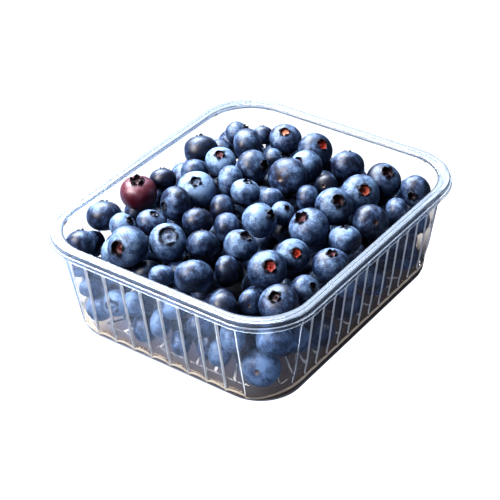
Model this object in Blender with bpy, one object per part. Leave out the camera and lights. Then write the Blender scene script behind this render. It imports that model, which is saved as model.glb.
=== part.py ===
"""A clear thermoformed punnet heaped with blueberries, in metres, +Z up.

punnet       one sheet drawn in one piece: stepped rim, fluted walls, foot rail, raised floor
berry_heap   the fruit as one lumpy solid, its surface wrapped over berries settled in the punnet
"""

import math
import random

import bmesh
import bpy
import numpy as np
from mathutils import Vector
from mathutils.geometry import delaunay_2d_cdt

MM = 0.001

# ---- punnet, millimetres -------------------------------------------------
HALF_X = 60.0           # shoulder of the rim, half the short way
HALF_Y = 70.0           # shoulder of the rim, half the long way
HEIGHT = 45.0
SHEET = 0.8             # thickness of the plastic
RIM_CORNER = 23.2       # plan radius of the rim's corners
MOUTH_INSET = 4.4       # rim shoulder to the edge of the mouth
MOUTH_CORNER = 21.0
SKIRT_DROP = 3.6        # how far the rim turns down
SKIRT_FLARE = 0.75      # how far its lower edge stands out
LEDGE = 0.6             # step half way down the turned edge
WALL_INSET = 2.9        # rim shoulder to the wall, under the rim
WALL_DRAFT = 0.13       # lean of the wall, mm in per mm down
WALL_CORNER_TOP = 21.0
WALL_CORNER_FOOT = 18.5
FLUTE_LOW = 6.0         # the flutes run between these heights
FLUTE_HIGH = 38.5
FLUTE_FADE = 1.6
FLUTE_SHORT_WALL = 1.0  # how deep the panels between ribs are scooped
FLUTE_LONG_WALL = 0.7
RIBS_SHORT_WALL = [-42.4 + 9.02 * k for k in range(10)]
RIBS_LONG_WALL = [-48.4 + 7.56 * k for k in range(14)]
FOOT_INSET = 9.4        # outer edge of the flat the punnet stands on
FOOT_WIDTH = 3.0
FLOOR_TOP = 4.2         # the floor is lifted clear of the table
CORNER_POINTS = 5       # points round each corner between its nearest ribs

# ---- berries, millimetres ------------------------------------------------
EDGE_LEVEL = 39.0       # height of the pile's centres at the wall
CROWN_RISE = 8.0        # and how much higher they stand in the middle
FLOOR_GAP = 0.3
WALL_GAP = 0.3
LUMP_GRID = 3.1         # spacing of the points on the heap's top
SIDE_LEVELS = (4.5, 7.0, 11.0, 16.0, 21.0, 26.0, 30.0, 34.0)
HOLLOW_DEPTH = 3.5      # how far the heap's side falls back between berries
GAP_DEPTH = 7.0         # and how far its top falls below the mound between them

# Berries on top of the pile: x, y, across, and how far above the mound.
TOP_BERRIES = (
    # back corner and back edge
    (-39, 41, 11, 0), (-32, 50, 9, -3), (-18, 48, 14, 0), (0, 47, 15, 0),
    (17, 43, 14, 0), (35, 42, 15, 0), (47, 46, 13, 0),
    # second row from the back
    (-43, 21, 14, 0), (-27, 32, 14, 0), (-14, 33, 10, -4), (4, 30, 14, -1),
    (15, 29, 10, -4), (32, 27, 16, 0), (47, 32, 11, -3),
    # across the middle
    (-37, 10, 12, -4), (-28, 14, 13, 1), (-14, 18, 14, 0), (5, 16, 16, 1),
    (18, 12, 12, -1), (31, 11, 15, 2), (45, 16, 14, 0),
    (-42, -6, 11, 0), (-23, -7, 16, -1), (-15, 4, 13, -1), (-3, 1, 12, -1),
    (4, 4, 10, -1), (-9, -7, 12, -5), (14, 0, 10, -4), (30, -5, 16, 0),
    (44, -1, 13, 0),
    # second row from the front
    (-44, -19, 15, 0), (-24, -21, 14, 0), (-9, -25, 12, -2), (1, -19, 12, -6),
    (12, -13, 14, 0), (15, -30, 13, 0), (34, -23, 13, 0), (48, -17, 14, 0),
    (-46, -38, 14, -1), (-34, -40, 11, -1), (-27, -32, 12, -1), (-11, -41, 15, -1),
    (2, -37, 13, 0), (16, -41, 12, -4), (31, -37, 15, 0), (48, -35, 11, 0),
    # along the front edge
    (-43, -57, 12, 0), (-32, -49, 11, -6), (-21, -53, 16, 2), (-4, -55, 10, -3),
    (11, -53, 15, 0), (27, -57, 12, -3), (33, -49, 9, -4), (45, -47, 15, 0),
)
# Berries resting against the front and right walls: x, y, z, across.
WALL_BERRIES = (
    (-38, -59, 20, 9), (-25, -58, 17, 11), (-17, -59, 23, 10), (-5, -58, 17, 11),
    (4, -60, 29, 10), (6, -57, 11, 10), (17, -59, 26, 11), (24, -57, 14, 12),
    (31, -58, 26, 12), (39, -54, 13, 15), (46, -50, 26, 14),
    (49, -41, 22, 11), (50, -9, 26, 8), (50, 4, 24, 9),
)
FILL_LAYERS = (11.0, 21.5, 32.0)
FILL_PITCH_X = 12.6
FILL_PITCH_Y = 11.2
FILL_RADIUS = (5.3, 7.3)
FILL_SINK = 5.5         # loose berries stay this far under the mound
BACK_SINK = 4.0         # and lower still beside the back and left walls
NAMED_DRIFT = 1.2
SETTLE_STEPS = 260

for old in list(bpy.data.objects):
    bpy.data.objects.remove(old)


# ---- shared plan shapes ----------------------------------------------------
def wall_inset(z):
    """Rim shoulder to the outer face of the wall at height z."""
    return WALL_INSET + WALL_DRAFT * (HEIGHT - SKIRT_DROP - z)


def wall_corner(z):
    """Plan radius of the wall's outer face at height z."""
    share = z / (HEIGHT - SKIRT_DROP)
    return WALL_CORNER_FOOT + (WALL_CORNER_TOP - WALL_CORNER_FOOT) * share


def side_point(along, half_along, half_across, corner):
    """A point and its inward direction on one side of a rounded rectangle.

    The side runs along the first axis and lies at minus half_across.
    """
    past = abs(along) - (half_along - corner)
    if past <= 0:
        return (along, -half_across), (0.0, 1.0)
    drop = math.sqrt(corner * corner - past * past)
    sign = 1.0 if along > 0 else -1.0
    point = (along, -(half_across - corner) - drop)
    return point, (-sign * past / corner, drop / corner)


def turn(pair, quarter):
    """Rotate a plan vector by quarter turns, anticlockwise."""
    x, y = pair
    for _ in range(quarter):
        x, y = -y, x
    return x, y


def stations():
    """Along each side: where the points go, and how deep in a flute each lies."""
    sides = []
    for ribs in (RIBS_SHORT_WALL, RIBS_LONG_WALL):
        marks = []
        for near, far in zip(ribs, ribs[1:]):
            for step in range(3):
                share = step / 3
                depth = math.sin(math.pi * share) / math.sin(math.pi / 3)
                marks.append((near + (far - near) * share, depth))
        marks.append((ribs[-1], 0.0))
        sides.append(marks)
    return sides


def ring(inset, corner, flute, z):
    """One closed loop of points round the punnet, anticlockwise seen from above."""
    half_x = HALF_X - inset
    half_y = HALF_Y - inset
    short_marks, long_marks = stations()
    points = []
    # front, right, back and left sides; the back and left run the other way
    plan = (
        (0, short_marks, half_x, half_y, FLUTE_SHORT_WALL, 1),
        (1, long_marks, half_y, half_x, FLUTE_LONG_WALL, 1),
        (2, short_marks, half_x, half_y, FLUTE_SHORT_WALL, -1),
        (3, long_marks, half_y, half_x, FLUTE_LONG_WALL, -1),
    )
    ends = []
    for quarter, marks, half_along, half_across, depth, way in plan:
        run = [(way * along, share) for along, share in marks][::way]
        side = []
        for along, share in run:
            (px, py), (nx, ny) = side_point(along, half_along, half_across, corner)
            scoop = depth * share * flute
            side.append(turn((px + nx * scoop, py + ny * scoop), quarter))
        points.append(side)
        ends.append((run[0][0], run[-1][0], half_along))
    loop = []
    for quarter in range(4):
        loop.extend(points[quarter])
        last = ends[quarter][1] - (ends[quarter][2] - corner)
        following = ends[(quarter + 1) % 4]
        first = -following[0] - (following[2] - corner)
        start = math.asin(max(last, 0.0) / corner)
        stop = math.pi / 2 - math.asin(max(first, 0.0) / corner)
        half_along = plan[quarter][2]
        half_across = plan[quarter][3]
        for step in range(1, CORNER_POINTS + 1):
            angle = start + (stop - start) * step / (CORNER_POINTS + 1)
            spot = (
                half_along - corner + corner * math.sin(angle),
                -(half_across - corner) - corner * math.cos(angle),
            )
            loop.append(turn(spot, quarter))
    return [Vector((x * MM, y * MM, z * MM)) for x, y in loop]


def loft(name, loops, material):
    """A closed body through a row of loops, capped flat at both ends."""
    mesh = bmesh.new()
    rows = [[mesh.verts.new(point) for point in loop] for loop in loops]
    count = len(rows[0])
    for low, high in zip(rows, rows[1:]):
        for k in range(count):
            after = (k + 1) % count
            mesh.faces.new((low[k], low[after], high[after], high[k]))
    mesh.faces.new(rows[0][::-1])
    mesh.faces.new(rows[-1])
    return finish_body(name, mesh, material)


def finish_body(name, mesh, material):
    """Triangulate, turn every face outwards and link the object."""
    bmesh.ops.triangulate(mesh, faces=mesh.faces[:])
    bmesh.ops.recalc_face_normals(mesh, faces=mesh.faces[:])
    data = bpy.data.meshes.new(name)
    mesh.to_mesh(data)
    mesh.free()
    data.materials.append(material)
    body = bpy.data.objects.new(name, data)
    bpy.context.scene.collection.objects.link(body)
    return body


def plain_material(name, colour, roughness, transmission=0.0):
    """A Principled material in one colour."""
    material = bpy.data.materials.new(name)
    material.use_nodes = True
    shader = material.node_tree.nodes["Principled BSDF"]
    shader.inputs["Base Color"].default_value = (*colour, 1.0)
    shader.inputs["Roughness"].default_value = roughness
    shader.inputs["Transmission Weight"].default_value = transmission
    return material


# ---- punnet ----------------------------------------------------------------
def punnet_loops():
    """Loops from under the floor, up the outside, over the rim and down the inside."""
    skirt = HEIGHT - SKIRT_DROP
    under = HEIGHT - SHEET
    foot_in = FOOT_INSET + FOOT_WIDTH
    rise = FLOOR_TOP - SHEET

    def outside(z, flute):
        return ring(wall_inset(z), wall_corner(z), flute, z)

    def inside(z, flute):
        return ring(wall_inset(z) + SHEET, wall_corner(z) - SHEET, flute, z)

    def rim(inset, z):
        return ring(inset, RIM_CORNER - inset, 0, z)

    def base(inset, z):
        return ring(inset, WALL_CORNER_FOOT + wall_inset(0) - inset, 0, z)

    return [
        # underside of the floor and the rail it stands on
        base(foot_in + 1.2, rise),
        base(foot_in, 0.0),
        base(FOOT_INSET, 0.0),
        base(FOOT_INSET - 0.8, 0.35),
        base(wall_inset(1.2), 1.2),
        # outer face of the wall
        outside(FLOOR_TOP, 0),
        outside(FLUTE_LOW - 1.0, 0),
        outside(FLUTE_LOW, 1),
        outside(FLUTE_HIGH, 1),
        outside(FLUTE_HIGH + FLUTE_FADE, 0),
        outside(skirt, 0),
        # inside of the turned-down rim
        ring(WALL_INSET, WALL_CORNER_TOP, 0, under),
        rim(SHEET, under),
        rim(SHEET, under - 1.5),
        rim(SHEET - LEDGE, under - 1.7),
        rim(SHEET - LEDGE, skirt),
        # outside of the rim
        rim(-SKIRT_FLARE, skirt),
        rim(-LEDGE, skirt + 0.3),
        rim(-LEDGE, skirt + 1.5),
        rim(0.0, skirt + 1.7),
        rim(0.0, under),
        rim(0.25, HEIGHT - 0.25),
        rim(SHEET, HEIGHT),
        # top of the rim and the lip round the mouth
        ring(MOUTH_INSET - 0.8, MOUTH_CORNER, 0, HEIGHT),
        ring(MOUTH_INSET - 0.2, MOUTH_CORNER, 0, HEIGHT - 0.25),
        ring(MOUTH_INSET, MOUTH_CORNER, 0, HEIGHT - 0.8),
        ring(MOUTH_INSET - 0.2, MOUTH_CORNER, 0, HEIGHT - 1.4),
        # inner face of the wall
        inside(HEIGHT - 2.2, 0),
        inside(FLUTE_HIGH + FLUTE_FADE, 0),
        inside(FLUTE_HIGH, 1),
        inside(FLUTE_LOW, 1),
        inside(FLUTE_LOW - 1.0, 0),
        # channel inside the foot rail, then the floor
        base(wall_inset(2.0) + SHEET, 2.0),
        base(FOOT_INSET - 0.2, 1.1),
        base(FOOT_INSET + 0.5, SHEET),
        base(foot_in - 0.4, SHEET),
        base(foot_in + 0.8, FLOOR_TOP),
    ]


clear_plastic = plain_material("clear_plastic", (0.86, 0.90, 0.94), 0.08, 0.9)
blueberry_skin = plain_material("blueberry_skin", (0.07, 0.11, 0.21), 0.5)

punnet = loft("punnet", punnet_loops(), clear_plastic)


# ---- berries ---------------------------------------------------------------
def mound(x, y):
    """Height of the centres of the top berries over the plan."""
    across = np.maximum(1 - (x / 57.0) ** 2, 0)
    along = np.maximum(1 - (y / 67.0) ** 2, 0)
    return EDGE_LEVEL + CROWN_RISE * across * along


def wall_room(spots):
    """Room to the wall's inner face at each spot, and the way straight in from it."""
    inset = wall_inset(np.clip(spots[:, 2], FLOOR_TOP, HEIGHT - SKIRT_DROP)) + SHEET
    corner = WALL_CORNER_FOOT - SHEET
    past_x = np.abs(spots[:, 0]) - (HALF_X - inset - corner)
    past_y = np.abs(spots[:, 1]) - (HALF_Y - inset - corner)
    out_x = np.maximum(past_x, 0)
    out_y = np.maximum(past_y, 0)
    reach = np.sqrt(out_x * out_x + out_y * out_y)
    room = corner - reach - np.minimum(np.maximum(past_x, past_y), 0)
    flat = reach == 0
    way_x = np.where(flat, np.where(past_x > past_y, 1.0, 0.0), out_x)
    way_y = np.where(flat, np.where(past_x > past_y, 0.0, 1.0), out_y)
    length = np.sqrt(way_x * way_x + way_y * way_y)
    way_x = -np.sign(spots[:, 0]) * way_x / length
    way_y = -np.sign(spots[:, 1]) * way_y / length
    return room, way_x, way_y


def first_places():
    """The named berries, then loose layers of them filling the rest."""
    rng = random.Random(5)
    spots = []
    sizes = []
    for x, y, across, above in TOP_BERRIES:
        spots.append((x, y, float(mound(np.float64(x), np.float64(y))) + above))
        sizes.append(across / 2)
    for x, y, z, across in WALL_BERRIES:
        spots.append((x, y, z))
        sizes.append(across / 2)
    named = len(spots)
    for layer, z in enumerate(FILL_LAYERS):
        rows = int((2 * HALF_Y - 10) / FILL_PITCH_Y)
        columns = int((2 * HALF_X - 8) / FILL_PITCH_X)
        for row in range(rows):
            for column in range(columns):
                size = rng.uniform(*FILL_RADIUS)
                x = -56 + FILL_PITCH_X * (column + 0.5 * ((row + layer) % 2))
                y = -64 + 3 * layer + FILL_PITCH_Y * row
                x += rng.uniform(-1.5, 1.5)
                y += rng.uniform(-1.5, 1.5)
                spot = np.array([(x, y, z + rng.uniform(-1.5, 1.5))])
                if wall_room(spot)[0][0] < 0.55 * size:
                    continue
                gap = np.array(spots[:named]) - spot
                distance = np.sqrt((gap * gap).sum(1))
                if (distance < 0.72 * (np.array(sizes[:named]) + size)).any():
                    continue
                spots.append(tuple(spot[0]))
                sizes.append(size)
    return np.array(spots, float), np.array(sizes, float), named


def settle():
    """Push the berries apart, off the walls and floor, until they lie together."""
    spots, sizes, named = first_places()
    start = spots[:named].copy()
    count = len(spots)
    loose = np.arange(count) >= named
    touch = sizes[:, None] + sizes[None]
    apart = np.eye(count) * 1000.0
    for _ in range(SETTLE_STEPS):
        gap = spots[:, None] - spots[None]
        distance = np.sqrt((gap * gap).sum(2)) + apart
        overlap = np.maximum(touch - distance, 0)
        move = (gap * (0.3 * overlap / distance)[..., None]).sum(1)
        room, way_x, way_y = wall_room(spots)
        pressed = np.maximum(sizes - room, 0)
        move[:, 0] += way_x * pressed
        move[:, 1] += way_y * pressed
        move[:, 2] += np.maximum(FLOOR_TOP + sizes - spots[:, 2], 0)
        beside = (spots[:, 1] > 50) | (spots[:, 0] < -46)
        lid = mound(spots[:, 0], spots[:, 1]) - FILL_SINK - BACK_SINK * beside
        move[:, 2] -= loose * (0.5 * np.maximum(spots[:, 2] - lid, 0) + 0.02)
        spots = spots + np.clip(move, -0.6, 0.6) * np.where(loose, 1.0, 0.15)[:, None]
        drift = np.clip(spots[:named] - start, -NAMED_DRIFT, NAMED_DRIFT)
        spots[:named] = start + drift
    return spots, sizes


def lump_height(x, y, spots, sizes):
    """Height of the heap's surface: berry caps, their flanks and the gaps between."""
    away = np.sqrt((spots[:, 0] - x) ** 2 + (spots[:, 1] - y) ** 2)
    inside = np.minimum(away, 0.9 * sizes)
    cap = spots[:, 2] + np.sqrt(sizes * sizes - inside * inside)
    gap = float(mound(np.float64(x), np.float64(y))) - GAP_DEPTH
    return max(float((cap - 1.6 * (away - inside)).max()), gap, SIDE_LEVELS[-1] + 0.5)


def side_hollow(point, way, z, spots, sizes):
    """How far in from the wall the nearest berry lies at this height."""
    level = sizes * sizes - (spots[:, 2] - z) ** 2
    along = (spots[:, 0] - point[0]) * way[0] + (spots[:, 1] - point[1]) * way[1]
    aside = (spots[:, 0] - point[0]) * way[1] - (spots[:, 1] - point[1]) * way[0]
    chord = level - aside * aside
    met = np.where(chord > 0, along - np.sqrt(np.maximum(chord, 0)), HOLLOW_DEPTH)
    return float(np.clip(met.min(), 0, HOLLOW_DEPTH))


def side_loop(z, spots, sizes, count=76):
    """A loop round the heap just inside the wall, falling back between berries."""
    inset = wall_inset(z) + SHEET + FLUTE_SHORT_WALL + WALL_GAP
    if z < FLUTE_LOW + 2:
        inset = FOOT_INSET + FOOT_WIDTH + 1.4
    half_x = HALF_X - inset
    half_y = HALF_Y - inset
    corner = WALL_CORNER_FOOT - 3.0
    straight_x = 2 * (half_x - corner)
    straight_y = 2 * (half_y - corner)
    arc = corner * math.pi / 2
    around = 2 * (straight_x + straight_y) + 4 * arc
    loop = []
    for k in range(count):
        run = around * k / count
        quarter = 0
        length, half_along, half_across = straight_x, half_x, half_y
        while run > length + arc:
            run -= length + arc
            quarter += 1
            if quarter % 2:
                length, half_along, half_across = straight_y, half_y, half_x
            else:
                length, half_along, half_across = straight_x, half_x, half_y
        if run <= length:
            spot = (run - length / 2, -half_across)
            way = (0.0, 1.0)
        else:
            angle = (run - length) / corner
            way = (-math.sin(angle), math.cos(angle))
            spot = (
                half_along - corner - corner * way[0],
                corner - half_across - corner * way[1],
            )
        spot = turn(spot, quarter)
        way = turn(way, quarter)
        back = side_hollow(spot, way, z, spots, sizes)
        loop.append((spot[0] + way[0] * back, spot[1] + way[1] * back))
    return loop


def inside_loop(x, y, loop, margin):
    """True where a spot lies inside a loop and clear of its edge."""
    crossings = 0
    nearest = 1e9
    for (ax, ay), (bx, by) in zip(loop, loop[1:] + loop[:1]):
        if (ay > y) != (by > y):
            if x < ax + (y - ay) * (bx - ax) / (by - ay):
                crossings += 1
        length = (bx - ax) ** 2 + (by - ay) ** 2
        share = min(max(((x - ax) * (bx - ax) + (y - ay) * (by - ay)) / length, 0), 1)
        away = math.hypot(x - ax - share * (bx - ax), y - ay - share * (by - ay))
        nearest = min(nearest, away)
    return crossings % 2 == 1 and nearest > margin


def heap_body(name, spots, sizes, material):
    """The side loops, a flat underside, and a lumpy top knitted over a grid."""
    mesh = bmesh.new()
    loops = [side_loop(z, spots, sizes) for z in SIDE_LEVELS]
    rows = []
    for z, loop in zip(SIDE_LEVELS, loops):
        rows.append([mesh.verts.new((x * MM, y * MM, z * MM)) for x, y in loop])
    count = len(rows[0])
    for low, high in zip(rows, rows[1:]):
        for k in range(count):
            after = (k + 1) % count
            mesh.faces.new((low[k], low[after], high[after], high[k]))
    mesh.faces.new(rows[0][::-1])
    brim = loops[-1]
    inner = []
    steps_y = int(2 * HALF_Y / (LUMP_GRID * 0.87))
    steps_x = int(2 * HALF_X / LUMP_GRID)
    for row in range(steps_y):
        y = -HALF_Y + row * LUMP_GRID * 0.87
        for column in range(steps_x):
            x = -HALF_X + (column + 0.5 * (row % 2)) * LUMP_GRID
            if inside_loop(x, y, brim, 1.3):
                inner.append((x, y))
    flat = [Vector(spot) for spot in brim + inner]
    edges = [(k, (k + 1) % count) for k in range(count)]
    placed, _, faces, origin, _, _ = delaunay_2d_cdt(flat, edges, [], 1, 0.001)
    top = []
    for place, came_from in zip(placed, origin):
        index = came_from[0]
        if index < count:
            top.append(rows[-1][index])
            continue
        z = lump_height(place.x, place.y, spots, sizes)
        top.append(mesh.verts.new((place.x * MM, place.y * MM, z * MM)))
    for corners in faces:
        mesh.faces.new([top[k] for k in corners])
    return finish_body(name, mesh, material)


berry_spots, berry_sizes = settle()
berry_heap = heap_body("berry_heap", berry_spots, berry_sizes, blueberry_skin)

for body in (punnet, berry_heap):
    print(body.name, "faces", len(body.data.polygons))
print("berries under the surface", len(berry_spots))
print("highest point, mm", round(float((berry_spots[:, 2] + berry_sizes).max()), 2))
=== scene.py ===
# %% [markdown]
# # A clear punnet heaped with blueberries
#
# The real object is a shallow tray drawn from one thin sheet of clear plastic, and
# a loose heap of blueberries. The tray could be cut as a solid box and hollowed out,
# but a drawn sheet is the same thickness everywhere and its steps and flutes show on
# both faces, so here one surface is shaped first and given its thickness afterwards.
# The berries are grown one by one with a crown at one end and a scar at the other,
# and settle against each other before they are joined into a few pieces.

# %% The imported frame
import math
import random

import bpy
import numpy as np
from mathutils import Matrix, Vector


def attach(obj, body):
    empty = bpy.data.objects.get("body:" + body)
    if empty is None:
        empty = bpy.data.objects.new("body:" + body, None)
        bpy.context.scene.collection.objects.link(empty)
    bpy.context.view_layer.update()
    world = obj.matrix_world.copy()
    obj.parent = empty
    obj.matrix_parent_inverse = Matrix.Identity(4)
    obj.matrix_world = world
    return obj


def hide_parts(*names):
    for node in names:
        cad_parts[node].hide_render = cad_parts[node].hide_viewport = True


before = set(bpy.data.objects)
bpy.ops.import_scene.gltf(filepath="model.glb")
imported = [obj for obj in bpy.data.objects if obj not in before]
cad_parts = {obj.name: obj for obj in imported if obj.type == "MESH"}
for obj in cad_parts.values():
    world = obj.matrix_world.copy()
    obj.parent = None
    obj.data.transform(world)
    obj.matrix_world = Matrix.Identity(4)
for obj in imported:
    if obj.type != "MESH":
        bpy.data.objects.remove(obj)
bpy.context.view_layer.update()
MM = 0.001
print("packed solids:", sorted(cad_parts))

# %% [markdown]
# ## The plan of the tray
#
# Seen from above, every level of the tray is a rectangle with round corners. The four
# walls are fluted: narrow upright ribs stand at an even pitch, and the panel between
# two ribs is scooped inwards. A loop of points round the tray could be spaced evenly,
# but then ribs would fall between points. So each loop is made of the same stations,
# placed at the ribs first, and every level puts its points at the same stations.
#
# At its foot each flute is closed by a round arch, and the long walls end a little
# higher than the short ones. That is two more numbers per wall: a rise for the arch,
# and a step for the whole foot line.

# %% Sizes of the tray in millimetres
HALF_X, HALF_Y = 60.0, 70.0
SHEET = 0.5
RIM_CORNER = 23.2
MOUTH_CORNER = 21.0
SKIRT_EDGE = 41.4
WALL_INSET = 2.9
WALL_DRAFT = 0.13
WALL_CORNER_FOOT, WALL_CORNER_TOP = 18.5, 21.0
FLOOR_TOP = 4.2
RIBS_SHORT_WALL = [-42.4 + 9.02 * k for k in range(10)]
RIBS_LONG_WALL = [-48.4 + 7.56 * k for k in range(14)]
SCOOP_SHORT_WALL, SCOOP_LONG_WALL = 1.0, 0.7
ARCH_SHORT_WALL, ARCH_LONG_WALL = 1.7, 0.3
STEP_SHORT_WALL, STEP_LONG_WALL = 0.0, 2.9
FLUTE_STEPS = (0.0, 0.03, 0.06, 0.1, 0.16, 0.28, 0.5, 0.72, 0.84, 0.9, 0.94, 0.97)
CORNER_STEPS = 16


def wall_inset(z):
    """From the rim's shoulder in to the outer face of the wall at height z."""
    return WALL_INSET + WALL_DRAFT * (SKIRT_EDGE - z)


def wall_corner(z):
    """Plan radius of the wall's corners at height z."""
    share = min(max(z / SKIRT_EDGE, 0.0), 1.0)
    return WALL_CORNER_FOOT + (WALL_CORNER_TOP - WALL_CORNER_FOOT) * share


print("wall leans", round(math.degrees(math.atan(WALL_DRAFT)), 1), "degrees")

# %% Stations along one wall
# How far either side of a rib its crest can pull the stations, as a share of the pitch.
CREST_REACH = 0.28


def wall_stations(ribs):
    """Stations along a wall: the rib before, the pitch and the share of it, 0 to 1."""
    stations = []
    for near, far in zip(ribs, ribs[1:]):
        for share in FLUTE_STEPS:
            stations.append((near, far - near, share))
    stations.append((ribs[-1], 1.0, 0.0))
    return stations


def squeeze(share, crest):
    """Moves stations near a rib closer to it (crest under 1) or away from it."""
    side = min(share, 1 - share)
    if side < CREST_REACH:
        side *= crest + (1 - crest) * side / CREST_REACH
    return side if share < 0.5 else 1 - side


def scoop(share):
    """How deep the panel is scooped across a flute: steep beside its ribs."""
    edge = abs(2.0 * share - 1.0)
    return 1.0 - 0.6 * edge**8 - 0.4 * edge**2


def arch(share):
    """Height of the round arch that closes the foot of a flute."""
    return math.sqrt(max(0.0, 1.0 - (2.0 * share - 1.0) ** 2))


short_stations = wall_stations(RIBS_SHORT_WALL)
long_stations = wall_stations(RIBS_LONG_WALL)
around_tray = 2 * len(short_stations) + 2 * len(long_stations) + 4 * CORNER_STEPS
print("points round the tray:", around_tray)

# %% One level of the tray


def turn_quarter(x, y, quarter):
    """Rotate a plan point by quarter turns."""
    for _ in range(quarter):
        x, y = -y, x
    return x, y


def tray_loop(inset, corner, z, flute=0.0, lift=0.0, crest=1.0, far=1.0):
    """Points at one level of the tray.

    flute scoops the panels, less on the back and left walls where far is under 1;
    lift raises the arches of the foot, and crest widens the ribs.
    """
    half_x, half_y = HALF_X - inset, HALF_Y - inset
    short = (half_x, half_y, SCOOP_SHORT_WALL, ARCH_SHORT_WALL, STEP_SHORT_WALL)
    long = (half_y, half_x, SCOOP_LONG_WALL, ARCH_LONG_WALL, STEP_LONG_WALL)
    walls = (
        (short_stations, 1, *short),
        (long_stations, 1, *long),
        (short_stations, -1, *short),
        (long_stations, -1, *long),
    )
    loop = []
    for quarter, (stations, way, along, across, depth, rise, step_up) in enumerate(walls):
        flat = along - corner
        for near, pitch, share in stations[::way]:
            share = squeeze(share, crest)
            place = way * (near + pitch * share)
            past = abs(place) - flat
            push = depth * flute * scoop(share) * (far if quarter > 1 else 1.0)
            x, y = place, -across + push
            if past > 0:
                drop = math.sqrt(corner * corner - past * past)
                x -= math.copysign(push * past / corner, place)
                y = -(across - corner) - drop + push * drop / corner
            level = z + lift * (step_up + rise * arch(share))
            loop.append((*turn_quarter(x, y, quarter), level))
        next_stations, next_way, next_along, *_, next_step = walls[(quarter + 1) % 4]
        last = way * stations[::way][-1][0] - flat
        first = -next_way * next_stations[::next_way][0][0] - (next_along - corner)
        start = math.asin(max(last, 0.0) / corner)
        stop = math.pi / 2 - math.asin(max(first, 0.0) / corner)
        for step in range(1, CORNER_STEPS + 1):
            angle = start + (stop - start) * step / (CORNER_STEPS + 1)
            x = flat + corner * math.sin(angle)
            y = -(across - corner) - corner * math.cos(angle)
            share = step / (CORNER_STEPS + 1)
            share = share * share * (3 - 2 * share)
            level = z + lift * (step_up + (next_step - step_up) * share)
            loop.append((*turn_quarter(x, y, quarter), level))
    return loop


# %% [markdown]
# ## The section of the sheet
#
# Cut through, the sheet starts at the free edge of the skirt under the rim, steps
# over a ledge, rolls over the shoulder, runs flat to a small lip round the mouth, and
# then goes down the inside of the wall. At the foot it dips into a rail that the tray
# stands on and climbs to a raised floor. A curve with a bevel could follow the rim,
# but the wall has to change with it, so the section is a list of levels, and each
# level becomes one loop. Each level also says how much painted shade it takes, for
# the dark lines that clear plastic shows at tight bends, and how much painted warm
# reflection, for the golden tinge at the foot.

# %% The levels, from the skirt's edge to the floor
# Rim rows: inset from the shoulder, height, and how much painted shade the bend takes.
RIM_SECTION = (
    (-0.74, 41.40, 0.0),
    (-0.70, 41.62, 0.0),
    (-0.62, 41.95, 0.2),
    (-0.60, 42.15, 0.7),
    (-0.58, 42.45, 0.7),
    (-0.56, 42.65, 0.2),
    (-0.50, 42.95, 0.0),
    (-0.30, 43.08, 0.0),
    (-0.04, 43.15, 0.1),
    (0.03, 43.30, 0.7),
    (0.04, 43.50, 0.7),
    (0.05, 43.65, 0.1),
    (0.06, 44.40, 0.1),
    (0.08, 44.60, 0.7),
    (0.14, 44.80, 0.8),
    (0.30, 44.93, 0.5),
    (0.60, 45.00, 0.25),
    (1.20, 45.00, 0.0),
    (1.90, 45.00, 0.0),
    (2.05, 44.94, 0.3),
    (2.14, 44.86, 0.4),
    (2.24, 44.86, 0.4),
    (2.34, 44.93, 0.3),
    (2.50, 44.97, 0.0),
    (3.20, 44.97, 0.0),
    (3.65, 44.95, 0.3),
    (3.95, 44.88, 0.9),
    (4.20, 44.76, 1.0),
    (4.36, 44.50, 0.7),
    (4.40, 44.05, 0.2),
    (4.28, 43.50, 0.0),
    (3.75, 42.85, 0.0),
)

CREST_AT_FOOT, CREST_GROWTH = 0.35, 0.9
# The flutes of the back and left walls fade out below this height, over this much.
FAR_FLUTE_TOP, FAR_FLUTE_FADE = 39.0, 8.0


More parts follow.
